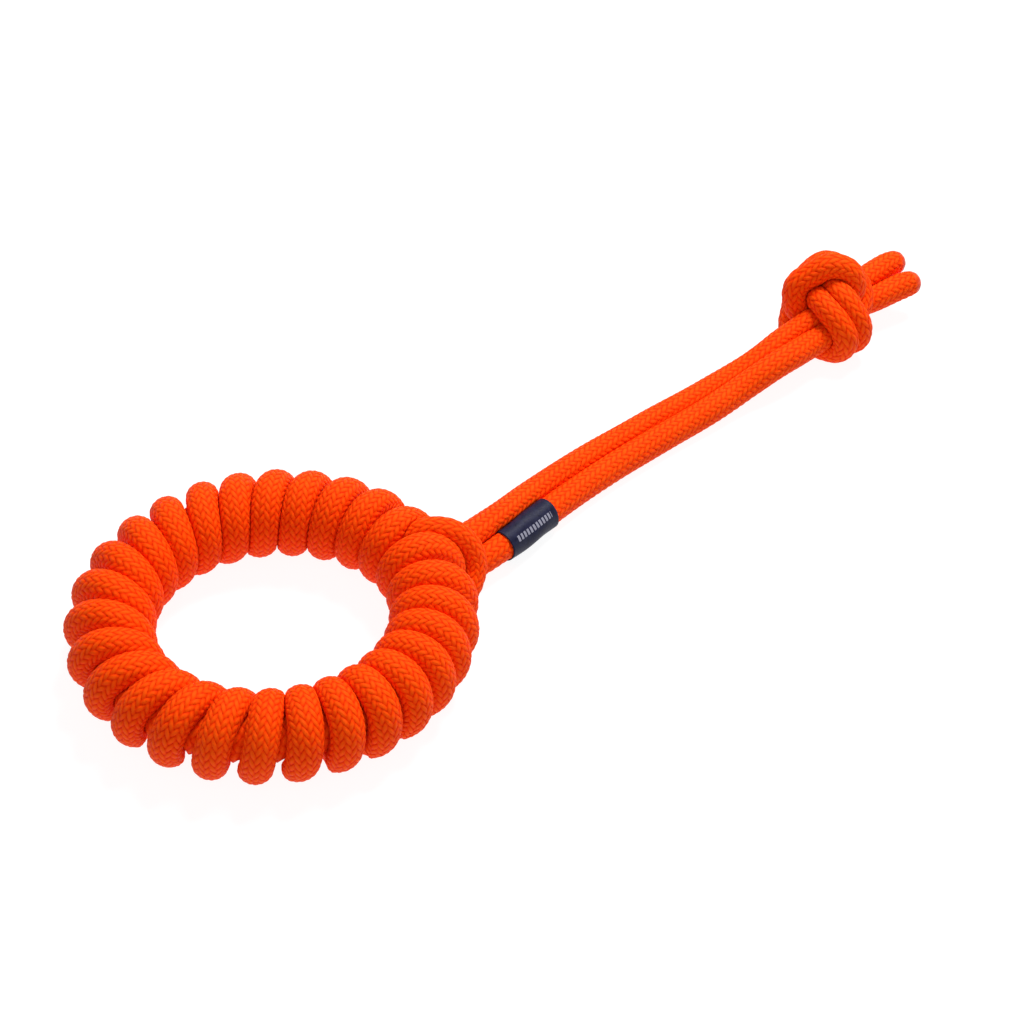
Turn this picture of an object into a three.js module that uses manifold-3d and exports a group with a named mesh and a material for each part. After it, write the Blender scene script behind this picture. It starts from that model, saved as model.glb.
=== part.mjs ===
// Rope training bumper: a ring of wrapped braided rope with a two-strand tail that ends in a knot.
// Millimetres, +Z up. The origin is the middle of the ring on the floor, and +X runs towards the tail.

import * as THREE from 'three';
import { mergeVertices } from 'three/addons/utils/BufferGeometryUtils.js';
import Module from 'manifold-3d';

const wasm = await Module();
wasm.setup();

// ---------- driving dimensions ----------
const GAP = 0.3; // clearance between pieces that touch on the real object
const ROPE_R = 5.3; // the braided rope, relaxed

const RING_R = 54.9; // middle circle of the ring
const SECTION_R = 16.8; // radius of the wrapped section
const WRAP_THICK = 10.8; // radial thickness of the wrapping rope
const WRAP_WIDTH = 12.2; // widest that the wrapping rope spreads
const RING_Z = SECTION_R; // the ring lies on the floor
const CORE_R = 5.5; // core rope, pressed round by the wrap

const TURNS = 27;
const TURN_PITCH = 360 / TURNS;
const FIRST_TURN = 2.05; // winding angle of turn 1 where it crosses the top, in degrees
const TURN_STEPS = 16; // facets round the ring's section
const TURN_START = -123.75; // a turn starts below the inner side, so that one facet lies flat on the floor

const STRAND_R = ROPE_R - 0.4; // tail strands, pressed against each other
const KNOT_R = ROPE_R - 1; // squeezed in the knot
const COLLAR_R = ROPE_R - 1.3; // squeezed against the ring

const LABEL_START = 86.5; // along +X
const LABEL_END = 111;
const LABEL_INNER_R = STRAND_R + GAP;
const LABEL_OUTER_R = LABEL_INNER_R + 0.6;

const SEAM_R = 0.4; // the row of stitches that closes the label, tucked in between the strands
const SEAM_OFFSET = [0, 5.6, -3.3];

const TIP_R = 4.6;
const TIP_LENGTH = 5;

const LOOSE_TO = 16; // route points before the knot draws the rope tight
const KNOT_FROM = 10; // first route point of the squeezed stretch

// Bending places of the tail: where the axis is, its direction, and the radius of the rounded joint face.
const SWING = { at: [88, -12.4, 0], along: 'z', radius: 12 };
const LIFT = { at: [122, 0, 7], along: 'y', radius: 7.6 };
const BEND = { at: [205, -3.6, 0], along: 'z', radius: 12 };

// The collar: a bight that leaves the wrap on top, crosses the roots of the tail and dives in again below.
const COLLAR_ROUTE = [
  [62.5, -9.5, 27.2],
  [66, -12, 26.2],
  [69.8, -15, 23.2],
  [72.4, -18.8, 18.4],
  [72.8, -22, 13],
  [70, -25.6, 8.4],
  [66.5, -28.2, 6.2],
];

// The upper (back) strand, from under the collar through the knot to its tip.
const BACK_ROUTE = [
  [72, -10.4, 15],
  [78, -9.5, 14.5],
  [86, -7.6, 13.5],
  [95, -5.6, 11.9],
  [104.5, -3.2, 10],
  [113, -1.7, 8.8],
  [121.5, -0.5, 8],
  [130, 0.5, 7.3],
  [146, 1.6, 6.3],
  [161.5, 1.9, 5.6],
  [177, 2.2, 5.3],
  [192, 1.9, 5.3],
  [200, 1.6, 5.4],
  [209, 1.6, 5.4],
  [219, 1.2, 6],
  [228, 0, 7.9],
  [237.5, -0.7, 10.6],
  [246.5, 0.1, 13.7],
  [255, -0.5, 17.7],
  [264.5, -1.6, 18.6],
  [273.7, -1.5, 21.2],
  [278.9, -4.5, 28.3],
  [278.2, -2.5, 37],
  [271.8, 3.6, 39.7],
  [264.4, 8.1, 35.8],
  [257.8, 11, 29.6],
  [256.4, 9.5, 20.5],
  [260.9, 6.3, 12.9],
  [265.3, -0.4, 7.7],
  [268.2, -9.1, 5.2],
  [270.7, -17.1, 8.9],
  [270.8, -18.4, 18],
  [269, -13.5, 26],
  [269.1, -5.4, 30.9],
  [272.2, 3.3, 29.6],
  [277, 8.9, 23.6],
  [285.2, 8.2, 19.8],
  [294, 5, 18.2],
  [303, 3.4, 17.2],
  [312.5, 2, 16.6],
];

// The lower (front) strand, the one that carries the label.
const FRONT_ROUTE = [
  [72, -17.6, 8],
  [78.5, -17.8, 8.1],
  [86, -17.6, 7.8],
  [95, -16.4, 7.2],
  [111.5, -13, 6.1],
  [120, -11.8, 5.8],
  [128, -10.7, 5.5],
  [136, -9.8, 5.3],
  [152, -8.8, 5.3],
  [176, -8.5, 5.3],
  [190, -8.9, 5.6],
  [200, -9.1, 6.3],
  [209, -9, 7.1],
  [218.5, -9.4, 8.8],
  [227.7, -10.4, 11.2],
  [237.1, -10.7, 12.6],
  [246.6, -9.7, 12.9],
  [256.1, -9.6, 14.4],
  [265.6, -10.2, 14.3],
  [274.9, -8.2, 14.4],
  [283.5, -6.7, 18],
  [287.3, -1.3, 24.5],
  [283.9, 5.4, 30.3],
  [278.3, 12.4, 32.8],
  [271.1, 15.8, 28.1],
  [266.1, 17.1, 20.2],
  [262.9, 15.8, 11.2],
  [257.6, 11.1, 5.4],
  [255.3, 2.3, 5.2],
  [257.6, -7, 5.2],
  [260.3, -15.8, 6.9],
  [260.8, -19.3, 15.3],
  [259.9, -14.3, 22.9],
  [259.9, -5.7, 27],
  [262.7, 3.1, 26.7],
  [267.2, 7.7, 20.1],
  [274.3, 5.6, 14.5],
  [282.6, 1.5, 12.7],
  [291.1, -2.7, 13.2],
  [311, -8.8, 13.2],
];

// ---------- materials ----------
const rope = new THREE.MeshStandardMaterial({ color: 0xf4500f, roughness: 0.62, metalness: 0 });
const sealedEnd = new THREE.MeshStandardMaterial({ color: 0xe0440c, roughness: 0.4, metalness: 0 });
const satin = new THREE.MeshStandardMaterial({ color: 0x15172c, roughness: 0.45, metalness: 0 });
const thread = new THREE.MeshStandardMaterial({ color: 0x1d2038, roughness: 0.7, metalness: 0 });

// ---------- solids: three.js geometry in, manifold-3d joins and cuts ----------
function weld(geometry) {
  const plain = geometry.index ? geometry.toNonIndexed() : geometry.clone();
  plain.deleteAttribute('normal');
  plain.deleteAttribute('uv');
  return mergeVertices(plain, 1e-4);
}

function solid(geometry) {
  const welded = weld(geometry);
  return new wasm.Manifold(
    new wasm.Mesh({
      numProp: 3,
      vertProperties: welded.attributes.position.array,
      triVerts: new Uint32Array(welded.index.array),
    }),
  );
}

function fromSolid(manifold) {
  const mesh = manifold.getMesh();
  const geometry = new THREE.BufferGeometry();
  geometry.setAttribute('position', new THREE.BufferAttribute(mesh.vertProperties, 3));
  geometry.setIndex(new THREE.BufferAttribute(mesh.triVerts, 1));
  geometry.computeVertexNormals();
  return geometry;
}

const bumper = new THREE.Group();

function place(name, geometry, material) {
  const mesh = new THREE.Mesh(geometry, material);
  mesh.name = name;
  bumper.add(mesh);
  return mesh;
}

// ---------- curves and tubes ----------
function curve(route) {
  return new THREE.CatmullRomCurve3(route.map((p) => new THREE.Vector3(...p)));
}

function circle(radius) {
  return new THREE.Shape().absarc(0, 0, radius, 0, 2 * Math.PI, false);
}

function tube(path, radius, sides, step) {
  const steps = Math.round(path.getLength() / step);
  return new THREE.ExtrudeGeometry(circle(radius), {
    extrudePath: path,
    steps,
    curveSegments: sides,
    bevelEnabled: false,
  });
}

// ---------- the wrapped ring ----------
// Winding angle to azimuth: the turns lie a little closer on one side of the ring than on the other.
function azimuth(winding) {
  const slow = 4.3 * Math.sin(THREE.MathUtils.degToRad(winding - 78));
  const quick = 1.6 * Math.sin(THREE.MathUtils.degToRad(2 * winding - 21));
  return winding + slow + quick;
}

// One turn: an eight-sided bar, bent round the core while it climbs by one pitch.
// It is squeezed between its neighbours on the inner side and spreads to its full width outside.
function turnGeometry(index) {
  const corner = 1 / Math.cos(Math.PI / 8);
  const bar = new THREE.CylinderGeometry(corner, corner, 1, 8, TURN_STEPS, false, Math.PI / 8);
  const welded = weld(bar);
  const vertices = welded.attributes.position;
  const flat = 1 / Math.cos(Math.PI / TURN_STEPS); // puts the facets, not the corners, on the true radius
  for (let i = 0; i < vertices.count; i++) {
    const along = vertices.getY(i) + 0.5;
    const side = vertices.getX(i);
    const height = vertices.getZ(i);
    const phi = TURN_START + along * (360 - 1.4);
    const winding = FIRST_TURN + TURN_PITCH * (index - 1 + (phi - 90) / 360);
    const here = azimuth(winding);
    const reach = Math.abs(azimuth(winding + 0.5 * TURN_PITCH * Math.sign(side)) - here);
    const radial = (SECTION_R - WRAP_THICK / 2 + (height * WRAP_THICK) / 2) * flat;
    const phiRad = THREE.MathUtils.degToRad(phi);
    const r = RING_R + radial * Math.cos(phiRad);
    const room = THREE.MathUtils.degToRad(reach) - GAP / 2 / r;
    const half = Math.min(room, WRAP_WIDTH / 2 / r);
    const theta = THREE.MathUtils.degToRad(here) + side * half;
    const z = RING_Z + radial * Math.sin(phiRad);
    vertices.setXYZ(i, r * Math.cos(theta), r * Math.sin(theta), z);
  }
  return welded;
}

// ---------- label and tips ----------
function sleeveGeometry(path) {
  const section = circle(LABEL_OUTER_R);
  section.holes.push(new THREE.Path().absarc(0, 0, LABEL_INNER_R, 0, 2 * Math.PI, true));
  return new THREE.ExtrudeGeometry(section, {
    extrudePath: path,
    steps: 6,
    curveSegments: 20,
    bevelEnabled: false,
  });
}

// A melted rope end: a short plug with a domed face.
function tipGeometry() {
  const profile = [
    [0, 0],
    [TIP_R, 0],
    [TIP_R, 0.3 * TIP_LENGTH],
    [0.9 * TIP_R, 0.65 * TIP_LENGTH],
    [0.65 * TIP_R, 0.9 * TIP_LENGTH],
    [0, TIP_LENGTH],
  ];
  return new THREE.LatheGeometry(profile.map((p) => new THREE.Vector2(...p)), 12);
}

// ---------- the tail's joint faces ----------
const BIG = 200;

function drum(joint, radius) {
  const cylinder = new THREE.CylinderGeometry(radius, radius, BIG, 48);
  if (joint.along === 'z') {
    cylinder.rotateX(Math.PI / 2);
  }
  cylinder.translate(...joint.at);
  return solid(cylinder);
}

function slab(fromX, toX) {
  const box = new THREE.BoxGeometry(toX - fromX, BIG, BIG);
  box.translate((fromX + toX) / 2, 0, 0);
  return solid(box);
}

// The stretch of a strand between two bending places: rounded where it turns on the one before,
// and hollowed where the next one turns on it.
function stretch(strand, before, after) {
  const start = before ? before.at[0] : 0;
  const end = after ? after.at[0] : 2 * BIG;
  let zone = slab(start, end);
  if (before) {
    zone = zone.add(drum(before, before.radius));
  }
  if (after) {
    zone = zone.subtract(drum(after, after.radius + GAP));
  }
  return strand.intersect(zone);
}

// ---------- the pieces ----------
place(
  'core_loop',
  new THREE.TorusGeometry(RING_R, CORE_R, 8, 54).translate(0, 0, RING_Z),
  rope,
);

const collarCurve = curve(COLLAR_ROUTE);
place('collar', tube(collarCurve, COLLAR_R, 8, 3.2), rope);
const collarRoom = solid(tube(collarCurve, COLLAR_R + GAP + 0.05, 8, 3.2));

// The turns under the collar are dented by it.
const DENTED_TURNS = [1, 25, 26, 27];
for (let turn = 1; turn <= TURNS; turn++) {
  const name = `wrap_turn_${String(turn).padStart(2, '0')}`;
  const geometry = turnGeometry(turn);
  const dented = DENTED_TURNS.includes(turn);
  place(name, dented ? fromSolid(solid(geometry).subtract(collarRoom)) : geometry, rope);
}

// The strands come out between the wrap and the collar, and keep clear of both.
const wrapRoom = solid(
  new THREE.TorusGeometry(RING_R, SECTION_R + 3 * GAP, 24, 64).translate(0, 0, RING_Z),
);

// Both strands: loose as far as the knot, and squeezed inside it. The two stretches share some points,
// and the last bending place cuts them apart.
for (const [name, route] of [
  ['back', BACK_ROUTE],
  ['front', FRONT_ROUTE],
]) {
  const loose = solid(tube(curve(route.slice(0, LOOSE_TO)), STRAND_R, 10, 8));
  const knotCurve = curve(route.slice(KNOT_FROM));
  const knot = solid(tube(knotCurve, KNOT_R, 8, 5));
  const root = stretch(loose, null, SWING).subtract(collarRoom).subtract(wrapRoom);
  place(`strand_${name}_root`, fromSolid(root), rope);
  place(`strand_${name}_near`, fromSolid(stretch(loose, SWING, LIFT)), rope);
  place(`strand_${name}_mid`, fromSolid(stretch(loose, LIFT, BEND)), rope);
  place(`strand_${name}_knot`, fromSolid(stretch(knot, BEND, null)), rope);

  const tip = place(`tip_${name}`, tipGeometry(), sealedEnd);
  const outward = knotCurve.getTangentAt(1);
  tip.quaternion.setFromUnitVectors(new THREE.Vector3(0, 1, 0), outward);
  tip.position.copy(knotCurve.getPointAt(1)).addScaledVector(outward, GAP);
}

const labelCurve = curve(FRONT_ROUTE.filter((p) => p[0] > 80 && p[0] < 125)).getPoints(60);
const labelPath = new THREE.CatmullRomCurve3(labelCurve.filter((p) => p.x > LABEL_START && p.x < LABEL_END));
place('label', sleeveGeometry(labelPath), satin);

const seamPath = new THREE.CatmullRomCurve3(
  labelPath.getPoints(8).map((p) => p.add(new THREE.Vector3(...SEAM_OFFSET))),
);
place('label_stitching', tube(seamPath, SEAM_R, 6, 4), thread);

export default bumper;
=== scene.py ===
"""The looks of a rope training bumper: a wrapped ring, its collar, a two-strand tail and a stopper knot.

Every rope is a braided tube laid on a centreline. Where two ropes press on each other, each is flattened
along the plane halfway between their centrelines, so they meet in a crease, as soft rope does.
All lengths are in metres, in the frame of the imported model: the ring lies on z = 0 round the origin,
and +X runs towards the tail.
"""

import math

import bpy
import numpy as np
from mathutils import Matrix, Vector


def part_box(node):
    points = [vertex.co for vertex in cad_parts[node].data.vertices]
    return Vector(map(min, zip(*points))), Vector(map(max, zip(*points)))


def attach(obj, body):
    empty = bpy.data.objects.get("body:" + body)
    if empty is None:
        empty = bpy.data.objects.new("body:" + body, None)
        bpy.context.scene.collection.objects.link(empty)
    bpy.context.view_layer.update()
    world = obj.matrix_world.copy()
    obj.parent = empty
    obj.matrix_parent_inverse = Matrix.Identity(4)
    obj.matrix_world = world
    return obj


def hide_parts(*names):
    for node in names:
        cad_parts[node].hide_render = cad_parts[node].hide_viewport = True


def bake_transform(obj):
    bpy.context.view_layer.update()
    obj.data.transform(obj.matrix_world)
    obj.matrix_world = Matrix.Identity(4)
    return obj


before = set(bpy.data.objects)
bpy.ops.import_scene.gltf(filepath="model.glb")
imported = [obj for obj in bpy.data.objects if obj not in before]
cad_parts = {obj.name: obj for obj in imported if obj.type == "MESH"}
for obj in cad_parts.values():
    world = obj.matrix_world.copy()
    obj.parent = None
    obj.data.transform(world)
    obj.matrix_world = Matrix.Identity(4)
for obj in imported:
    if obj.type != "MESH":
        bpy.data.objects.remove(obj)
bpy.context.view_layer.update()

MM = 0.001

# ---------- the ring ----------
RING_R = 54.6 * MM
RING_OVAL = 1.0 * MM  # how far the ring's radius departs from a circle's, out one way and in the other
RING_OVAL_AT = -40.0  # the azimuth of its long way, in degrees
RING_MIDDLE = (-2.4 * MM, 0.0, 16.1 * MM)
SECTION_R = 15.7 * MM
WRAP_THICK = 10.0 * MM
WRAP_WIDTH = 11.8 * MM
WOBBLE = 0.02  # how much the turns differ in width
CORE_R = 7.5 * MM  # the core, where the turns press it flat
CORE_SWELL = 10.8 * MM  # the radius that the core would swell to between the turns, if nothing pressed on it
CORE_LAY = 3.1 * MM  # one repeat of the core's braid
CORE_POINTS = 400  # points round the core that press on the turns
LAID_R = SECTION_R - WRAP_THICK / 2  # from the core's middle to the wrap rope's middle
TURNS = 27
TURN_PITCH = 360 / TURNS
FIRST_TURN = 2.05  # winding angle of turn 1 where it crosses the top
TURN_START = -123.75  # section angle at which a turn starts, below the inner side
COLLAR_TURNS = (1, 2, 25, 26, 27)  # the turns that the collar and the strands touch
# How far, in degrees, the outer part of a turn leans round the ring, at these turns and evenly between them.
LEAN_TURNS = (1, 2, 4, 5, 7, 9, 12, 16, 18, 20, 22, 23, 25, 26, 27)
LEAN_ANGLES = (5.0, 4.5, 1.0, -1.0, -3.5, -4.0, -3.0, -1.0, 1.0, 2.5, 3.5, 3.5, 2.0, 1.5, 3.0)

# ---------- the rope and its braid ----------
ROPE_R = 5.3 * MM
COLLAR_R = 4.8 * MM
CARRIERS = 16  # yarns that run each way round the rope
TAIL_LAY = 3.0 * MM  # how far a yarn advances along the rope while it passes one yarn of its own kind
WRAP_REPEATS = 31  # repeats of the braid in one turn of the wrap
YARN_CROWN = 0.32 * MM  # how far a yarn is rounded across
YARN_LIFT = 0.20 * MM  # how far it rises and dips as it passes over and under
YARN_BED = 0.10 * MM  # what lies under the yarns, seen at the corners between them
FLATTENED = 0.45  # the share of the braid's height that is lost where a rope is pressed
SIDES = 80  # mesh points round a rope
RINGS_PER_REPEAT = 6
COARSE = 4  # of a line's fine points, every fourth is enough to press with
ROOT_POINTS = 120  # the first fine points of a strand, which reach the turns and the collar
# Radians of twist in each repeat of the braid.
WRAP_TWIST = 0.040
TAIL_TWIST = 0.035
COLLAR_TWIST = 0.05
FIRST_TWIST = {"back": 0.8, "front": 2.1}

# ---------- the knot, the bends and the tips ----------
KNOT_MIDDLE = (0.2725, -0.0070, 0.0175)
KNOT_FOOT = (0.2725, -0.0100, 0.0052)  # the knot is drawn in towards this point, so it stays on the floor
KNOT_REACH = 31 * MM
KNOT_PULL = 0.20
KNOT_START = 0.240  # along +X; before it the two strands lie against each other
PRESSED_IN = 1.1 * MM  # how much nearer than their diameter the two strands lie where they touch
OWN_SKIP = 14 * MM  # a strand isn't pressed by its own points that are nearer than this along it
FLOOR_GAP = 0.15 * MM
# Where a strand is divided into its three pieces, along +X.
FIRST_SPLIT = 0.104
SECOND_SPLIT = 0.172
TIP_R = 0.93 * ROPE_R
TIP_HEIGHT = 4.2 * MM
TIP_SUNK = 0.8 * MM  # how far the melted dome starts inside the strand
TIP_ROUNDS = 20
TIP_POINTS = 108
TIP_FOLDS = 9

# ---------- the label ----------
LABEL_START = 86.0 * MM  # along +X
LABEL_END = 111.4 * MM
LABEL_OUT = 0.75 * MM  # how far the tape stands off the rope's mean surface
LABEL_THICK = 0.35 * MM
LABEL_FROM = -28  # degrees round the strand at the tape's first edge
LABEL_SWEEP = 348
LABEL_COLUMNS = 64
LABEL_DRAPE = 0.12 * MM
LABEL_LENGTH = LABEL_END - LABEL_START
TICKS_AT = 17.6 * MM  # round the tape from its first edge
TICK_HALF = 1.15 * MM  # half the height of a tick
TICK_PITCH = 1.7 * MM
TICK_MARGIN = 3 * MM  # the row stops this far short of the tape's ends
STITCHES = 11
STITCH_R = 0.26 * MM
STITCH_HALF = 0.85 * MM
STITCH_SIDES = 8
STITCH_ROUNDS = 9
SEAM_SLANT = (0.0, 2.0 * MM, -0.6 * MM)  # from the seam's middle to its far end, sideways and up

# ---------- routes ----------
COLLAR_ROUTE = [
    (0.0520, -0.0005, 0.0215),
    (0.0560, -0.0048, 0.0242),
    (0.0605, -0.0088, 0.0262),
    (0.0650, -0.0122, 0.0254),
    (0.0685, -0.0152, 0.0222),
    (0.0703, -0.0183, 0.0176),
    (0.0698, -0.0208, 0.0128),
    (0.0665, -0.0232, 0.0086),
    (0.0615, -0.0252, 0.0062),
    (0.0560, -0.0266, 0.0056),
]
BACK_ROUTE = [
    (0.0720, -0.0104, 0.0150),
    (0.0780, -0.0095, 0.0145),
    (0.0860, -0.0076, 0.0135),
    (0.0950, -0.0056, 0.0119),
    (0.1045, -0.0032, 0.0100),
    (0.1130, -0.0017, 0.0088),
    (0.1215, -0.0005, 0.0080),
    (0.1300, 0.0005, 0.0073),
    (0.1460, 0.0016, 0.0063),
    (0.1615, 0.0019, 0.0056),
    (0.1770, 0.0022, 0.0053),
    (0.1920, 0.0019, 0.0053),
    (0.2000, 0.0016, 0.0054),
    (0.2090, 0.0016, 0.0054),
    (0.2190, 0.0012, 0.0060),
    (0.2280, 0.0000, 0.0079),
    (0.2375, -0.0007, 0.0106),
    (0.2465, 0.0001, 0.0137),
    (0.2550, -0.0005, 0.0177),
    (0.2645, -0.0016, 0.0186),
    (0.2737, -0.0015, 0.0212),
    (0.2789, -0.0045, 0.0283),
    (0.2782, -0.0025, 0.0370),
    (0.2718, 0.0036, 0.0397),
    (0.2644, 0.0081, 0.0358),
    (0.2578, 0.0110, 0.0296),
    (0.2564, 0.0095, 0.0205),
    (0.2609, 0.0063, 0.0129),
    (0.2653, -0.0004, 0.0077),
    (0.2682, -0.0091, 0.0052),
    (0.2707, -0.0171, 0.0089),
    (0.2708, -0.0184, 0.0180),
    (0.2690, -0.0135, 0.0260),
    (0.2691, -0.0054, 0.0309),
    (0.2722, 0.0033, 0.0296),
    (0.2770, 0.0089, 0.0236),
    (0.2852, 0.0082, 0.0198),
    (0.2940, 0.0050, 0.0182),
    (0.3030, 0.0034, 0.0172),
    (0.3125, 0.0020, 0.0166),
]
FRONT_ROUTE = [
    (0.0720, -0.0176, 0.0080),
    (0.0785, -0.0178, 0.0081),
    (0.0860, -0.0176, 0.0078),
    (0.0950, -0.0164, 0.0072),
    (0.1115, -0.0130, 0.0061),
    (0.1200, -0.0118, 0.0058),
    (0.1280, -0.0107, 0.0055),
    (0.1360, -0.0098, 0.0053),
    (0.1520, -0.0088, 0.0053),
    (0.1760, -0.0085, 0.0053),
    (0.1900, -0.0089, 0.0056),
    (0.2000, -0.0091, 0.0063),
    (0.2090, -0.0090, 0.0071),
    (0.2185, -0.0094, 0.0088),
    (0.2277, -0.0104, 0.0112),
    (0.2371, -0.0107, 0.0126),
    (0.2466, -0.0097, 0.0129),
    (0.2561, -0.0096, 0.0144),
    (0.2656, -0.0102, 0.0143),
    (0.2749, -0.0082, 0.0144),
    (0.2835, -0.0067, 0.0180),
    (0.2873, -0.0013, 0.0245),
    (0.2839, 0.0054, 0.0303),
    (0.2783, 0.0124, 0.0328),
    (0.2711, 0.0158, 0.0281),
    (0.2661, 0.0171, 0.0202),
    (0.2629, 0.0158, 0.0112),
    (0.2576, 0.0111, 0.0054),
    (0.2553, 0.0023, 0.0052),
    (0.2576, -0.0070, 0.0052),
    (0.2603, -0.0158, 0.0069),
    (0.2608, -0.0193, 0.0153),
    (0.2599, -0.0143, 0.0229),
    (0.2599, -0.0057, 0.0270),
    (0.2627, 0.0031, 0.0267),
    (0.2672, 0.0077, 0.0201),
    (0.2743, 0.0056, 0.0145),
    (0.2826, 0.0015, 0.0127),
    (0.2911, -0.0027, 0.0132),
    (0.3110, -0.0088, 0.0132),
]
# Where each strand starts, inside the wrap.
BURIED = {
    "back": (0.0640, -0.0108, 0.0152),
    "front": (0.0645, -0.0170, 0.0085),
}


# ---------- curves ----------
def smooth_route(route):
    """Many points on the smooth curve through a route, closer where the route's points are closer."""
    p = np.array(route, float)
    p = np.vstack([2 * p[0] - p[1], p, 2 * p[-1] - p[-2]])
    pieces = []
    for k in range(1, len(p) - 2):
        p0, p1, p2, p3 = p[k - 1 : k + 3]
        t0 = 0.0
        t1 = t0 + math.sqrt(np.linalg.norm(p1 - p0))
        t2 = t1 + math.sqrt(np.linalg.norm(p2 - p1))
        t3 = t2 + math.sqrt(np.linalg.norm(p3 - p2))
        t = np.linspace(t1, t2, 30, endpoint=False)[:, None]
        a1 = (t1 - t) / (t1 - t0) * p0 + (t - t0) / (t1 - t0) * p1
        a2 = (t2 - t) / (t2 - t1) * p1 + (t - t1) / (t2 - t1) * p2
        a3 = (t3 - t) / (t3 - t2) * p2 + (t - t2) / (t3 - t2) * p3
        b1 = (t2 - t) / (t2 - t0) * a1 + (t - t0) / (t2 - t0) * a2
        b2 = (t3 - t) / (t3 - t1) * a2 + (t - t1) / (t3 - t1) * a3
        pieces.append((t2 - t) / (t2 - t1) * b1 + (t - t1) / (t2 - t1) * b2)
    return np.vstack(pieces + [p[-2:-1]])


def lengths(line):
    """How far along the line each point is."""
    return np.concatenate([[0], np.cumsum(np.linalg.norm(np.diff(line, axis=0), axis=1))])


def spaced(line, step):
    """The line again, with its points about step apart."""
    along = lengths(line)
    at = np.linspace(0, along[-1], max(2, round(along[-1] / step) + 1))
    return np.stack([np.interp(at, along, line[:, k]) for k in range(3)], axis=1)


def relaxed(line, rounds):
    """The line with its small kinks eased."""
    out = line.copy()
    for _ in range(rounds):
        out[1:-1] += 0.5 * ((out[:-2] + out[2:]) / 2 - out[1:-1])
    return out


def unit(v):
    """The same direction, or directions, with length 1."""
    return v / np.maximum(np.linalg.norm(v, axis=-1, keepdims=True), 1e-12)


def untwisted_sides(line, first):
    """A sideways direction at each point, carried along the line without twisting about it."""
    tangents = unit(np.gradient(line, axis=0))
    side = np.array(first, float)
    sides = []
    for t in tangents:
        side = side - (side @ t) * t
        side = side / np.linalg.norm(side)
        sides.append(side)
    return tangents, np.array(sides)


def with_radius(line, radius):
    """The line's points, each followed by the radius of the rope there."""
    return np.hstack([line, np.full((len(line), 1), radius)])


# ---------- camera ----------
def make_camera():
    """A long lens that looks down on the ring from its near left, with the tail running away to the right."""
    camera = bpy.data.objects.new("camera", bpy.data.cameras.new("camera"))
    camera.location = (-0.2833, -0.4628, 0.5653)
    camera.rotation_euler = (math.radians(47), 0, math.radians(-40))
    camera.data.sensor_width = 36
    camera.data.lens = 78.26
    camera.data.clip_start = 0.01
    camera.data.clip_end = 10
    bpy.context.scene.collection.objects.link(camera)
    bpy.context.scene.camera = camera


make_camera()


# ---------- the braided surface ----------
def braid_height(a, b):
    """Height of a braid in which each yarn passes over two and under two.

    a counts the yarns that run one way and b those that run the other way."""
    i, j = np.rint(a), np.rint(b)
    crown_a, crown_b = np.sqrt(np.maximum(0, 1 - 4 * np.stack([a - i, b - j]) ** 2))
    height_a = YARN_LIFT * np.cos(np.pi / 2 * (i + b - 0.5)) + YARN_CROWN * crown_a
    height_b = YARN_LIFT * np.cos(np.pi / 2 * (a + j + 1.5)) + YARN_CROWN * crown_b
    return np.maximum(np.maximum(height_a, height_b), YARN_BED)


BRAID_MEAN = float(braid_height(*np.meshgrid(np.linspace(0, 4, 161), np.linspace(0, 4, 161))).mean())
ANGLE = np.linspace(0, 2 * np.pi, SIDES, endpoint=False)


def pressed(centre, directions, natural, others, radius):
    """The radii of one ring of a rope, cut off halfway to the ropes that press on it, and how hard.

    radius is this rope's own, and others holds points of the other ropes, each with its rope's radius."""
    away = others[:, :3] - centre
    near = np.einsum("ij,ij->i", away, away) < (4 * radius) ** 2
    if not near.any():
        return natural, np.zeros_like(natural)
    away, other_radius = away[near], others[near, 3]
    towards = directions @ away.T
    share = (away**2).sum(1) + radius**2 - other_radius**2
    limit = np.where(towards > 1e-6, share / np.maximum(2 * towards, 1e-9), 1.0).min(1)
    limit = np.maximum(limit - 0.06 * MM, 1.2 * MM)
    blend = 0.9 * MM
    mix = np.clip(0.5 + 0.5 * (limit - natural) / blend, 0, 1)
    radii = limit + (natural - limit) * mix - blend * mix * (1 - mix)
    return radii, np.clip((natural - radii) / (1.0 * MM), 0, 1)


def braided_ring(centre, side, up, wide, tall, repeat, twist, others, radius, fade=1.0):
    """One ring of a braided rope: wide and tall are its half sizes, and fade scales the braid's height."""
    directions = np.cos(ANGLE)[:, None] * side + np.sin(ANGLE)[:, None] * up
    natural = 1 / np.sqrt((np.cos(ANGLE) / wide) ** 2 + (np.sin(ANGLE) / tall) ** 2)
    radii, squeeze = pressed(centre, directions, natural, others, radius)
    around = CARRIERS * (ANGLE + twist) / (2 * np.pi)
    height = braid_height(around + repeat, around - repeat) - BRAID_MEAN
    radii = radii + height * (1 - FLATTENED * squeeze) * fade
    return centre + radii[:, None] * directions


def rope_rings(line, tangents, sides, wide, tall, repeats, twist, others, radius):
    """The rings of a rope of one size, all pressed by the same points."""
    ups = np.cross(tangents, sides)
    return np.array(
        [
            braided_ring(line[k], sides[k], ups[k], wide, tall, repeats[k], twist[k], others, radius)
            for k in range(len(line))
        ]
    )


def mesh_piece(name, vertices, faces):
    """A smooth-shaded object with this mesh."""
    mesh = bpy.data.meshes.new(name)
    mesh.from_pydata(np.asarray(vertices, float).reshape(-1, 3).tolist(), [], faces)
    mesh.polygons.foreach_set("use_smooth", np.ones(len(mesh.polygons), bool))
    mesh.update()
    piece = bpy.data.objects.new(name, mesh)
    bpy.context.scene.collection.objects.link(piece)
    return piece


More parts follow.
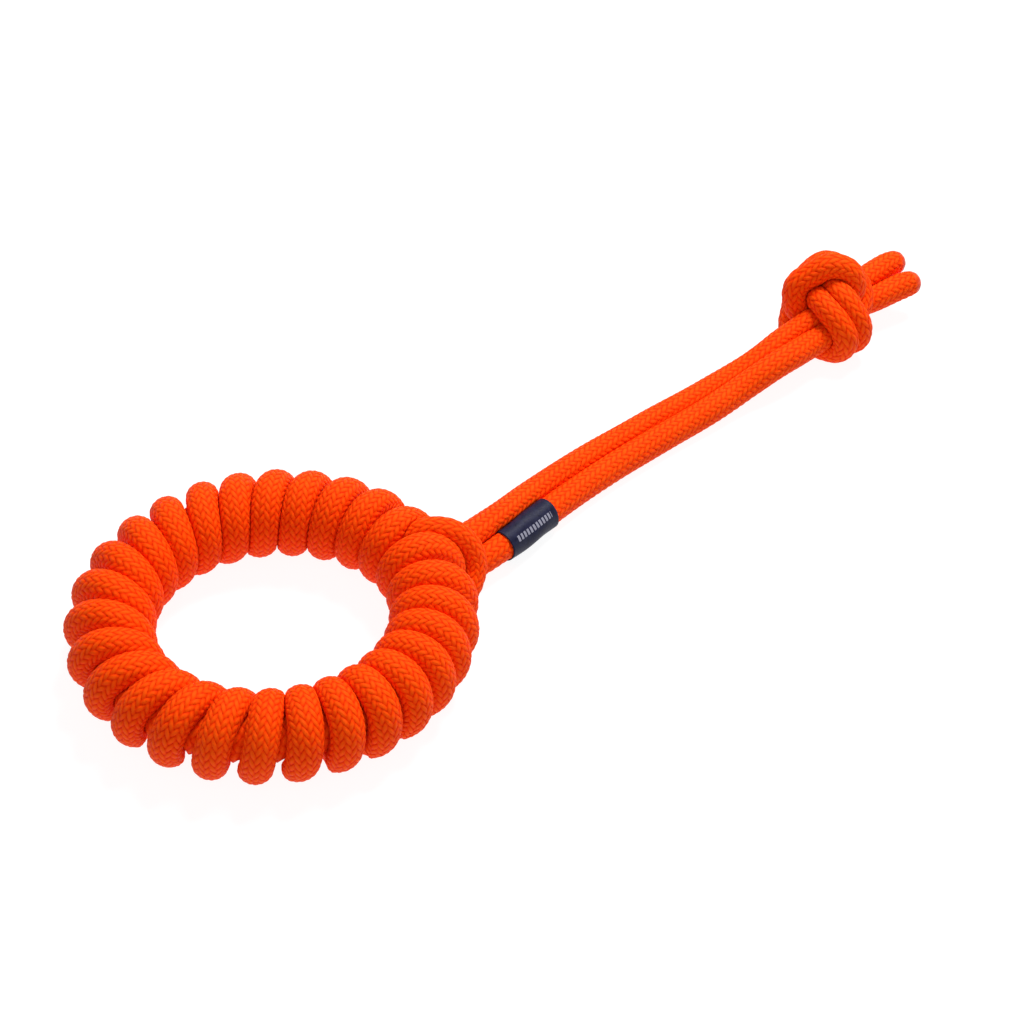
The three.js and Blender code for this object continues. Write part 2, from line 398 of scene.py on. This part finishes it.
def tube_faces(rings, points, start=0):
    """Quads that join rings of vertices, the first of which is numbered start."""
    faces = []
    for r in range(rings - 1):
        low = start + r * points
        for s in range(points):
            n = (s + 1) % points
            faces.append((low + s, low + n, low + points + n, low + points + s))
    return faces


def cap_faces(rings, points, start=0):
    """The two faces that close such a tube, the first ring's and then the last one's."""
    last = start + (rings - 1) * points
    return [tuple(range(start + points - 1, start - 1, -1)), tuple(range(last, last + points))]


def braid_mesh(name, rings, repeats, twist, closed=False, caps=(True, True)):
    """A tube mesh through the rings, with the braid's coordinates in the UV map "braid"."""
    count = len(rings)
    faces = tube_faces(count, SIDES)
    if closed:
        last = (count - 1) * SIDES
        for s in range(SIDES):
            n = (s + 1) % SIDES
            faces.append((last + s, last + n, n, s))
        repeats = np.append(repeats, 2 * repeats[-1] - repeats[-2])
        twist = np.append(twist, twist[0])
    else:
        faces += [face for face, wanted in zip(cap_faces(count, SIDES), caps) if wanted]
    piece = mesh_piece(name, rings, faces)
    braid_map(piece.data, repeats, twist)
    return piece


def braid_map(mesh, repeats, twist):
    """The UV map that the rope material reads: yarns counted round the rope, and repeats along it."""
    u = CARRIERS * (np.arange(SIDES + 1) / SIDES + twist[:, None] / (2 * np.pi))
    v = np.repeat(repeats[:, None], SIDES + 1, axis=1)
    uv = np.stack([u, v], axis=-1)
    k = np.arange(len(repeats) - 1)[:, None]
    s = np.arange(SIDES)[None, :]
    corners = np.stack([uv[k, s], uv[k, s + 1], uv[k + 1, s + 1], uv[k + 1, s]], axis=-2).reshape(-1, 2)
    flat = np.zeros((len(mesh.loops), 2))
    flat[: len(corners)] = corners
    mesh.uv_layers.new(name="braid").data.foreach_set("uv", flat.astype(np.float32).ravel())


# ---------- materials ----------
def calc(tree, operation, *values):
    """A Math node with these inputs, each a number or another node's output."""
    node = tree.nodes.new("ShaderNodeMath")
    node.operation = operation
    for socket, value in zip(node.inputs, values):
        if isinstance(value, (int, float)):
            socket.default_value = value
        else:
            tree.links.new(value, socket)
    return node.outputs[0]


def new_material(name, roughness, sheen=0.0, specular=0.5):
    """A material with one Principled shader, and that material's node tree and shader."""
    material = bpy.data.materials.new(name)
    material.use_nodes = True
    shader = material.node_tree.nodes["Principled BSDF"]
    shader.inputs["Roughness"].default_value = roughness
    shader.inputs["Sheen Weight"].default_value = sheen
    shader.inputs["Specular IOR Level"].default_value = specular
    return material, material.node_tree, shader


def ramp(tree, factor, stops):
    """Colours spread along a factor, given as (position, colour) stops."""
    node = tree.nodes.new("ShaderNodeValToRGB")
    elements = node.color_ramp.elements
    while len(elements) < len(stops):
        elements.new(0.5)
    for element, (position, colour) in zip(elements, stops):
        element.position = position
        element.color = (*colour, 1)
    tree.links.new(factor, node.inputs["Fac"])
    return node.outputs["Color"]


def noise(tree, scale, detail):
    """Noise of this scale per metre, fixed to the piece."""
    node = tree.nodes.new("ShaderNodeTexNoise")
    node.inputs["Scale"].default_value = scale
    node.inputs["Detail"].default_value = detail
    place = tree.nodes.new("ShaderNodeTexCoord")
    tree.links.new(place.outputs["Object"], node.inputs["Vector"])
    return node.outputs["Fac"]


def bump(tree, height, strength, distance, before=None):
    """A bump of this height, on top of the normal from an earlier bump if one is given."""
    node = tree.nodes.new("ShaderNodeBump")
    node.inputs["Strength"].default_value = strength
    node.inputs["Distance"].default_value = distance
    tree.links.new(height, node.inputs["Height"])
    if before is not None:
        tree.links.new(before, node.inputs["Normal"])
    return node.outputs["Normal"]


def map_place(tree, name):
    """The two coordinates of the UV map with this name."""
    place = tree.nodes.new("ShaderNodeUVMap")
    place.uv_map = name
    split = tree.nodes.new("ShaderNodeSeparateXYZ")
    tree.links.new(place.outputs["UV"], split.inputs[0])
    return split.outputs["X"], split.outputs["Y"]


def yarn_height(tree, along, across, top):
    """How high a yarn stands, as a share of the top: rounded across, and risen where it passes over."""
    rise = calc(tree, "COSINE", calc(tree, "MULTIPLY", along, math.pi / 2))
    square = calc(tree, "MULTIPLY", across, across)
    crown = calc(tree, "SQRT", calc(tree, "MAXIMUM", calc(tree, "MULTIPLY_ADD", square, -4.0, 1.0), 0.0))
    lifted = calc(tree, "MULTIPLY", rise, YARN_LIFT / top)
    return calc(tree, "MULTIPLY_ADD", crown, YARN_CROWN / top, lifted)


def rope_material():
    """Braided yarn: each yarn is a bundle of fine fibres, with painted shade that makes it paler on its crown
    and deep red in the gaps, and a painted sheen that makes the yarns running one way a little paler.
    """
    material, tree, shader = new_material("braided_rope", 0.6, sheen=0.02, specular=0.1)
    shader.inputs["Sheen Roughness"].default_value = 0.4
    shader.inputs["Sheen Tint"].default_value = (1.0, 0.3, 0.1, 1)
    shader.inputs["Specular Tint"].default_value = (1.0, 0.4, 0.15, 1)
    x, y = map_place(tree, "braid")
    a, b = calc(tree, "ADD", x, y), calc(tree, "SUBTRACT", x, y)
    i, j = calc(tree, "ROUND", a), calc(tree, "ROUND", b)
    off_a, off_b = calc(tree, "SUBTRACT", a, i), calc(tree, "SUBTRACT", b, j)
    top = YARN_LIFT + YARN_CROWN
    height_a = yarn_height(tree, calc(tree, "ADD", i, calc(tree, "SUBTRACT", b, 0.5)), off_a, top)
    height_b = yarn_height(tree, calc(tree, "ADD", j, calc(tree, "ADD", a, 1.5)), off_b, top)
    height = calc(tree, "MAXIMUM", height_a, height_b)
    seen = calc(tree, "GREATER_THAN", height_a, height_b)
    across = calc(tree, "MULTIPLY_ADD", seen, calc(tree, "SUBTRACT", off_a, off_b), off_b)

    speck = noise(tree, 900.0, 2.0)
    patch = noise(tree, 60.0, 2.0)
    # Painted sheen and painted shade: the yarns on top running one way are painted paler as if catching the
    # light, and the braid height paints the creases darker.
    painted_sheen_and_shade = calc(tree, "MULTIPLY_ADD", seen, 0.08, height)
    painted_light_and_tone = calc(tree, "MULTIPLY_ADD", calc(tree, "SUBTRACT", speck, 0.5), 0.25, painted_sheen_and_shade)
    painted_light_and_tone = calc(tree, "MULTIPLY_ADD", calc(tree, "SUBTRACT", patch, 0.5), 0.2, painted_light_and_tone)
    # The ramp paints shade from the height, deep red in the creases between yarns and paler orange on the
    # crowns; the speck and patch noise add random tone.
    colour = ramp(
        tree,
        painted_light_and_tone,
        [
            (0.15, (0.68, 0.006, 0.0)),
            (0.5, (0.88, 0.030, 0.0)),
            (0.75, (0.97, 0.058, 0.001)),
            (1.0, (1.0, 0.088, 0.003)),
        ],
    )
    tree.links.new(colour, shader.inputs["Base Color"])

    fibres = calc(tree, "SINE", calc(tree, "MULTIPLY", across, 2 * math.pi * 5))
    fibres = calc(tree, "MULTIPLY_ADD", speck, 1.6, fibres)
    creases = bump(tree, height, 0.7, 0.35 * MM)
    tree.links.new(bump(tree, fibres, 0.5, 0.05 * MM, creases), shader.inputs["Normal"])
    rough = calc(tree, "MULTIPLY_ADD", speck, 0.3, 0.45)
    tree.links.new(rough, shader.inputs["Roughness"])
    return material


def tip_material():
    """Rope melted shut: the yarns run into a smooth darker skin."""
    material, tree, shader = new_material("sealed_end", 0.4, specular=0.2)
    lumps = noise(tree, 350.0, 4.0)
    colour = ramp(
        tree,
        lumps,
        [
            (0.3, (0.55, 0.03, 0.002)),
            (0.6, (0.82, 0.06, 0.005)),
            (0.8, (0.92, 0.1, 0.02)),
        ],
    )
    tree.links.new(colour, shader.inputs["Base Color"])
    tree.links.new(calc(tree, "MULTIPLY_ADD", lumps, 0.3, 0.2), shader.inputs["Roughness"])
    tree.links.new(bump(tree, lumps, 0.5, 0.25 * MM), shader.inputs["Normal"])
    return material


def label_material():
    """Navy satin tape: fine crosswise ribs, with a row of plain pale ticks woven along its outer face."""
    material, tree, shader = new_material("label_satin", 0.5, specular=0.12)
    along, around = map_place(tree, "weave")
    ribs = calc(tree, "SINE", calc(tree, "MULTIPLY", along, 2 * math.pi / (0.32 * MM)))
    ends = calc(tree, "SINE", calc(tree, "MULTIPLY", around, 2 * math.pi / (0.4 * MM)))
    weave = calc(tree, "MULTIPLY_ADD", ends, 0.4, ribs)
    ticks = tick_row(tree, along, around)
    speck = noise(tree, 700.0, 2.0)
    cloth = ramp(tree, speck, [(0.3, (0.008, 0.009, 0.028)), (0.7, (0.016, 0.018, 0.05))])
    mix = tree.nodes.new("ShaderNodeMix")
    mix.data_type = "RGBA"
    tree.links.new(ticks, mix.inputs["Factor"])
    tree.links.new(cloth, mix.inputs["A"])
    mix.inputs["B"].default_value = (0.27, 0.27, 0.34, 1)
    tree.links.new(mix.outputs["Result"], shader.inputs["Base Color"])
    tree.links.new(bump(tree, weave, 0.35, 0.04 * MM), shader.inputs["Normal"])
    tree.links.new(calc(tree, "MULTIPLY_ADD", speck, 0.2, 0.34), shader.inputs["Roughness"])
    return material


def tick_row(tree, along, around):
    """1 on the label's woven ticks and 0 elsewhere: a plain row that stops short of both ends."""
    off = calc(tree, "ABSOLUTE", calc(tree, "SUBTRACT", around, TICKS_AT))
    thin = calc(tree, "LESS_THAN", off, TICK_HALF)
    middle = calc(tree, "ABSOLUTE", calc(tree, "SUBTRACT", along, LABEL_LENGTH / 2))
    short = calc(tree, "LESS_THAN", middle, LABEL_LENGTH / 2 - TICK_MARGIN)
    beat = calc(tree, "FRACT", calc(tree, "DIVIDE", along, TICK_PITCH))
    tick = calc(tree, "LESS_THAN", beat, 0.6)
    return calc(tree, "MULTIPLY", calc(tree, "MULTIPLY", thin, short), tick)


def thread_material():
    """Twisted navy sewing thread."""
    material, tree, shader = new_material("label_thread", 0.6, sheen=0.3)
    twist = noise(tree, 2500.0, 2.0)
    colour = ramp(tree, twist, [(0.3, (0.01, 0.012, 0.03)), (0.7, (0.03, 0.034, 0.075))])
    tree.links.new(colour, shader.inputs["Base Color"])
    tree.links.new(bump(tree, twist, 0.6, 0.05 * MM), shader.inputs["Normal"])
    return material


ROPE = rope_material()
TIP = tip_material()
SATIN = label_material()
THREAD = thread_material()


def dress(piece, material):
    """Gives the piece its material."""
    piece.data.materials.clear()
    piece.data.materials.append(material)
    return piece


# ---------- the centrelines ----------
def azimuth(winding):
    """Winding angle to azimuth: the turns lie a little closer on one side of the ring than on the other."""
    return winding + 4.3 * np.sin(np.radians(winding - 78)) + 1.6 * np.sin(np.radians(2 * winding - 21))


def ring_circle(theta):
    """The core's middle line, at these azimuths in radians."""
    radius = RING_R + RING_OVAL * np.cos(2 * (theta - math.radians(RING_OVAL_AT)))
    return np.array(RING_MIDDLE) + np.stack(
        [radius * np.cos(theta), radius * np.sin(theta), np.zeros_like(theta)], axis=1
    )


def outer_share(phi):
    """1 on the outer side of the ring's section and 0 on the inner side."""
    rise = np.clip((phi - TURN_START) / 90, 0, 1)
    fall = np.clip((175 - phi) / 140, 0, 1)
    share = np.minimum(rise, fall)
    return share * share * (3 - 2 * share)


def turn_line(turn, phi):
    """Middle of the wrap rope at section angle phi in one turn, and the outward direction there."""
    winding = FIRST_TURN + TURN_PITCH * (turn - 1 + (phi - 90) / 360)
    lean = np.interp(turn, LEAN_TURNS, LEAN_ANGLES) * outer_share(np.asarray(phi, float))
    theta, slope = np.radians(azimuth(winding) + lean), np.radians(phi)
    outward = np.stack(
        [np.cos(slope) * np.cos(theta), np.cos(slope) * np.sin(theta), np.sin(slope)], axis=1
    )
    return ring_circle(theta) + LAID_R * outward, outward


def drawn_in(line):
    """The route with its knot pulled tight: the solid model's knot is looser, so its pieces stay apart."""
    near = np.exp(-((np.linalg.norm(line - np.array(KNOT_MIDDLE), axis=1) / KNOT_REACH) ** 6))
    return line - KNOT_PULL * near[:, None] * (line - np.array(KNOT_FOOT))


def touching(line, other):
    """The line moved against the other strand where the two nearly touch."""
    out = line.copy()
    for k in np.flatnonzero(line[:, 0] < KNOT_START):
        away = other - line[k]
        distance = np.linalg.norm(away, axis=1)
        nearest = int(np.argmin(distance))
        gap = distance[nearest] - 2 * ROPE_R + PRESSED_IN
        if 0 < gap < 3 * MM:
            out[k] += away[nearest] / distance[nearest] * gap / 2
    return out


strand_points = {
    name: spaced(drawn_in(smooth_route([BURIED[name]] + route)), TAIL_LAY / RINGS_PER_REPEAT)
    for name, route in (("back", BACK_ROUTE), ("front", FRONT_ROUTE))
}
strand_lines = {
    "back": relaxed(touching(strand_points["back"], strand_points["front"]), 12),
    "front": relaxed(touching(strand_points["front"], strand_points["back"]), 12),
}
collar_line = relaxed(spaced(smooth_route(COLLAR_ROUTE), TAIL_LAY / RINGS_PER_REPEAT), 6)


def near_the_roots():
    """The points of the collar and of both strands that press on the turns beside them."""
    roots = [with_radius(line[:ROOT_POINTS:COARSE], ROPE_R) for line in strand_lines.values()]
    return [with_radius(collar_line[::COARSE], COLLAR_R)] + roots


# ---------- the tail ----------
def strand_rings(name, other_name):
    """The rings of one whole strand, with the braid's repeats and its twist at each ring.

    It is pressed by the other strand, the collar and its own far stretches, and it thins towards its end."""
    line = strand_lines[name]
    tangents, sides = untwisted_sides(line, (0, 1, 0))
    ups = np.cross(tangents, sides)
    along = lengths(line)
    left = along[-1] - along
    repeats = along / TAIL_LAY
    twist = TAIL_TWIST * repeats + FIRST_TWIST[name]
    radius = ROPE_R * (0.9 + 0.1 * np.sqrt(np.clip(left / (5 * MM), 0, 1)))
    fade = np.minimum(1.0, left / (2 * MM) + 0.25)
    other = with_radius(strand_lines[other_name][::COARSE], ROPE_R)
    fixed = np.vstack([other, with_radius(collar_line[::COARSE], COLLAR_R)])
    rings = []
    for k in range(len(line)):
        far = np.abs(along - along[k]) > OWN_SKIP
        others = np.vstack([fixed, with_radius(line[far][::COARSE], ROPE_R)])
        size = radius[k]
        rings.append(
            braided_ring(line[k], sides[k], ups[k], size, size, repeats[k], twist[k], others, ROPE_R, fade[k])
        )
    rings = np.array(rings)
    rings[:, :, 2] = np.maximum(rings[:, :, 2], FLOOR_GAP)
    return rings, repeats, twist


def strand_pieces(name, other_name):
    """One strand as three pieces that meet ring on ring, and the middle line of each."""
    line = strand_lines[name]
    rings, repeats, twist = strand_rings(name, other_name)
    first = int(np.argmax(line[:, 0] > FIRST_SPLIT))
    second = int(np.argmax(line[:, 0] > SECOND_SPLIT))
    spans = {"root": (0, first + 1), "middle": (first, second + 1), "end": (second, len(line))}
    caps = {"root": (True, False), "middle": (False, False), "end": (False, True)}
    pieces, paths = {}, {}
    for part, (low, high) in spans.items():
        piece = braid_mesh(
            f"{name}_strand_{part}", rings[low:high], repeats[low:high], twist[low:high], caps=caps[part]
        )
        pieces[part] = dress(piece, ROPE)
        paths[part] = line[low:high]
    return pieces, paths


def melted_tip(name):
    """A dome on the end of a strand, with the folds of melted yarn running to its middle."""
    line = strand_lines[name]
    outward = unit(line[-1] - line[-8])
    side = unit(np.cross(outward, (0, 0, 1)))
    up = np.cross(side, outward)
    turn = np.linspace(0, 2 * np.pi, TIP_POINTS, endpoint=False)
    around = np.cos(turn)[:, None] * side + np.sin(turn)[:, None] * up
    rings = []
    for t in np.linspace(0, 1, TIP_ROUNDS):
        slope = t * np.pi / 2
        fold = 1 + 0.02 * np.sin(TIP_FOLDS * turn) * math.sin(math.pi * min(1, t * 1.3)) ** 2
        radius = np.maximum(TIP_R * max(0.0, math.cos(slope)) ** 0.8 * fold, 0.3 * MM)
        height = TIP_HEIGHT * math.sin(slope) ** 1.1 - TIP_SUNK
        rings.append(line[-1] + outward * height + radius[:, None] * around)
    faces = tube_faces(TIP_ROUNDS, TIP_POINTS) + cap_faces(TIP_ROUNDS, TIP_POINTS)
    piece = dress(mesh_piece(f"{name}_tip", rings, faces), TIP)
    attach(piece, "tail_end")
    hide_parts(f"tip_{name}")
    return piece


def strand(name, other_name):
    """One strand: three pieces and its melted tip."""
    pieces, paths = strand_pieces(name, other_name)
    tip = melted_tip(name)
    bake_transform(pieces["root"])
    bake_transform(pieces["middle"])
    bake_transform(pieces["end"])
    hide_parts(f"strand_{name}_root", f"strand_{name}_near")
    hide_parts(f"strand_{name}_mid")
    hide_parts(f"strand_{name}_knot")


# ---------- the label ----------
def tape_rows(path, angle):
    """The tape's points, row by row along the strand: wrapped round it and pressed by the other strand."""
    tangents, sides = untwisted_sides(path, (0, 1, 0))
    ups = np.cross(tangents, sides)
    others = with_radius(strand_lines["back"][::COARSE], ROPE_R)
    natural = np.full(LABEL_COLUMNS, ROPE_R + LABEL_OUT)
    rows = []
    for k in range(len(path)):
        directions = np.cos(angle)[:, None] * sides[k] + np.sin(angle)[:, None] * ups[k]
        radii, _ = pressed(path[k], directions, natural, others, ROPE_R + 0.4 * MM)
        drape = LABEL_DRAPE * np.sin(3 * angle + 9 * k / len(path))
        rows.append(path[k] + (radii + drape)[:, None] * directions)
    rows = np.array(rows)
    rows[:, :, 2] = np.maximum(rows[:, :, 2], 0.1 * MM)
    return rows


def thickened(piece, thickness):
    """The piece as a solid sheet of this thickness, with no modifier left on it."""
    modifier = piece.modifiers.new("thickness", "SOLIDIFY")
    modifier.thickness = thickness
    modifier.offset = -1
    graph = bpy.context.evaluated_depsgraph_get()
    mesh = bpy.data.meshes.new_from_object(piece.evaluated_get(graph))
    piece.modifiers.clear()
    piece.data = mesh


def label():
    """The tape, wrapped round the front strand with its ends lapped between the strands."""
    line = strand_lines["front"]
    path = spaced(line[(line[:, 0] > LABEL_START) & (line[:, 0] < LABEL_END)], 0.5 * MM)
    start = math.radians(LABEL_FROM)
    angle = start + math.radians(LABEL_SWEEP) * np.arange(LABEL_COLUMNS) / (LABEL_COLUMNS - 1)
    along = lengths(path)
    around = (ROPE_R + LABEL_OUT) * (angle - start)
    faces = []
    for k in range(len(path) - 1):
        for s in range(LABEL_COLUMNS - 1):
            a = k * LABEL_COLUMNS + s
            faces.append((a, a + 1, a + LABEL_COLUMNS + 1, a + LABEL_COLUMNS))
    piece = mesh_piece("label_tape", tape_rows(path, angle), faces)
    layer = piece.data.uv_layers.new(name="weave")
    for loop in piece.data.loops:
        k, s = divmod(loop.vertex_index, LABEL_COLUMNS)
        layer.data[loop.index].uv = (along[k], around[s])
    thickened(piece, LABEL_THICK)
    dress(piece, SATIN)
    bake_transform(piece)
    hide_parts("label")


def stitch_rings(middle, direction):
    """The rings of one stitch, a short rod with rounded ends."""
    side = unit(np.cross(direction, (0, 0, 1)))
    up = np.cross(side, direction)
    turn = np.linspace(0, 2 * np.pi, STITCH_SIDES, endpoint=False)
    around = np.cos(turn)[:, None] * side + np.sin(turn)[:, None] * up
    rings = []
    for t in np.linspace(-1, 1, STITCH_ROUNDS):
        radius = STITCH_R * math.sqrt(max(0.02, 1 - t**4))
        rings.append(middle + direction * t * STITCH_HALF + radius * around)
    return np.vstack(rings)


def stitches():
    """The row of stitches that closes the tape, tucked between the strands."""
    low, high = (np.array(corner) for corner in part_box("label_stitching"))
    middle = (low + high) / 2
    reach = np.array(SEAM_SLANT) + (high - middle) * (1, 0, 0)
    start, finish = middle - reach, middle + reach
    direction = unit(finish - start)
    vertices, faces = [], []
    for n in range(STITCHES):
        base = n * STITCH_ROUNDS * STITCH_SIDES
        vertices.append(stitch_rings(start + (finish - start) * (n + 0.5) / STITCHES, direction))
        faces += tube_faces(STITCH_ROUNDS, STITCH_SIDES, base) + cap_faces(STITCH_ROUNDS, STITCH_SIDES, base)
    piece = dress(mesh_piece("label_stitches", np.vstack(vertices), faces), THREAD)
    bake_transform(piece)
    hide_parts("label_stitching")


# ---------- the ring ----------
def core():
    """The rope loop inside the wrap, which swells between the turns."""
    repeats = round(2 * math.pi * RING_R / CORE_LAY)
    count = repeats * RINGS_PER_REPEAT
    theta = np.linspace(0, 2 * np.pi, count, endpoint=False)
    tangents = np.stack([-np.sin(theta), np.cos(theta), np.zeros(count)], axis=1)
    sides = np.stack([np.cos(theta), np.sin(theta), np.zeros(count)], axis=1)
    phi = np.linspace(TURN_START, TURN_START + 360, 120)
    others = with_radius(np.vstack([turn_line(turn, phi)[0] for turn in range(1, TURNS + 1)]), ROPE_R)
    along = repeats * np.arange(count) / count
    twist = np.zeros(count)
    line = ring_circle(theta)
    rings = rope_rings(line, tangents, sides, CORE_SWELL, CORE_SWELL, along, twist, others, CORE_R)
    piece = dress(braid_mesh("core_rope", rings, along, twist, closed=True), ROPE)
    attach(piece, "ring")
    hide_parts("core_loop")


def turn_presses(turn):
    """The points that press on a turn: the core, the turns beside it, and the collar and strands if near."""
    core_line = ring_circle(np.linspace(0, 2 * np.pi, CORE_POINTS, endpoint=False))
    presses = [with_radius(core_line, CORE_R)]
    phi = np.linspace(TURN_START - 60, TURN_START + 420, 160)
    for step in (-1, 1):
        presses.append(with_radius(turn_line(turn + step, phi)[0], ROPE_R))
    if turn in COLLAR_TURNS:
        presses += near_the_roots()
    return np.vstack(presses)


def wrap_turn(turn):
    """One turn of the wrap, a little wider or narrower than the next."""
    count = WRAP_REPEATS * RINGS_PER_REPEAT
    phi = TURN_START + 360 * np.arange(count + 1) / count
    line, outward = turn_line(turn, phi)
    tangents = unit(np.gradient(line, axis=0))
    ups = unit(outward - np.einsum("ij,ij->i", outward, tangents)[:, None] * tangents)
    sides = np.cross(tangents, ups)
    repeats = WRAP_REPEATS * (turn - 1 + (phi - TURN_START) / 360)
    twist = WRAP_TWIST * repeats + 0.35 * np.sin(0.11 * repeats)
    width = WRAP_WIDTH * (1 + WOBBLE * math.sin(2.4 * turn) + 0.6 * WOBBLE * math.sin(5.1 * turn + 1))
    others = turn_presses(turn)
    rings = rope_rings(line, tangents, sides, width / 2, WRAP_THICK / 2, repeats, twist, others, ROPE_R)
    rings[:, :, 2] = np.maximum(rings[:, :, 2], 0.0)
    piece = dress(braid_mesh(f"wrap_rope_{turn:02d}", rings, repeats, twist), ROPE)
    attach(piece, "ring")
    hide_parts(f"wrap_turn_{turn:02d}")


def collar():
    """The bight that crosses over the roots of the strands."""
    tangents, sides = untwisted_sides(collar_line, (0, 0, 1))
    phi = np.linspace(TURN_START, TURN_START + 360, 150)
    presses = [with_radius(turn_line(turn, phi)[0], ROPE_R) for turn in COLLAR_TURNS]
    for line in strand_lines.values():
        presses.append(with_radius(line[:ROOT_POINTS:COARSE], ROPE_R))
    others = np.vstack(presses)
    repeats = lengths(collar_line) / TAIL_LAY
    twist = COLLAR_TWIST * repeats
    rings = rope_rings(collar_line, tangents, sides, COLLAR_R, COLLAR_R, repeats, twist, others, COLLAR_R)
    piece = dress(braid_mesh("collar_rope", rings, repeats, twist), ROPE)
    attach(piece, "ring")
    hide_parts("collar")


# ---------- floor and light ----------
def floor():
    """A plain white floor, just below everything that lies on it."""
    half = 3.0
    corners = [(-half, -half, 0), (half, -half, 0), (half, half, 0), (-half, half, 0)]
    piece = mesh_piece("floor", corners, [(0, 1, 2, 3)])
    piece.location.z = -0.05 * MM
    material, _, shader = new_material("floor", 0.7, specular=0.2)
    shader.inputs["Base Color"].default_value = (0.15, 0.15, 0.15, 1)
    shader.inputs["Emission Color"].default_value = (1, 1, 1, 1)
    shader.inputs["Emission Strength"].default_value = 0.92
    piece.data.materials.append(material)


def area_light(name, place, target, size, power):
    """A round lamp at a place, turned to a target."""
    light = bpy.data.lights.new(name, "AREA")
    light.shape = "DISK"
    light.size = size
    light.energy = power
    lamp = bpy.data.objects.new(name, light)
    lamp.location = place
    lamp.rotation_euler = (Vector(target) - Vector(place)).to_track_quat("-Z", "Y").to_euler()
    bpy.context.scene.collection.objects.link(lamp)


def studio():
    """Soft white light from all round, one key lamp behind the tail and a weak fill."""
    world = bpy.data.worlds.new("studio")
    world.use_nodes = True
    background = world.node_tree.nodes["Background"]
    background.inputs["Color"].default_value = (1, 1, 1, 1)
    background.inputs["Strength"].default_value = 0.3
    bpy.context.scene.world = world
    middle = (0.1, 0, 0)
    area_light("key", (0.80, 0.25, 1.3), middle, 0.6, 26.8)
    area_light("fill", (-0.5, -0.8, 1.2), middle, 1.2, 3)
    bpy.context.scene.view_settings.view_transform = "Standard"


# ---------- everything, in order ----------
strand("back", "front")
strand("front", "back")
label()
stitches()
core()
for number in range(1, TURNS + 1):
    wrap_turn(number)
collar()
floor()
studio()
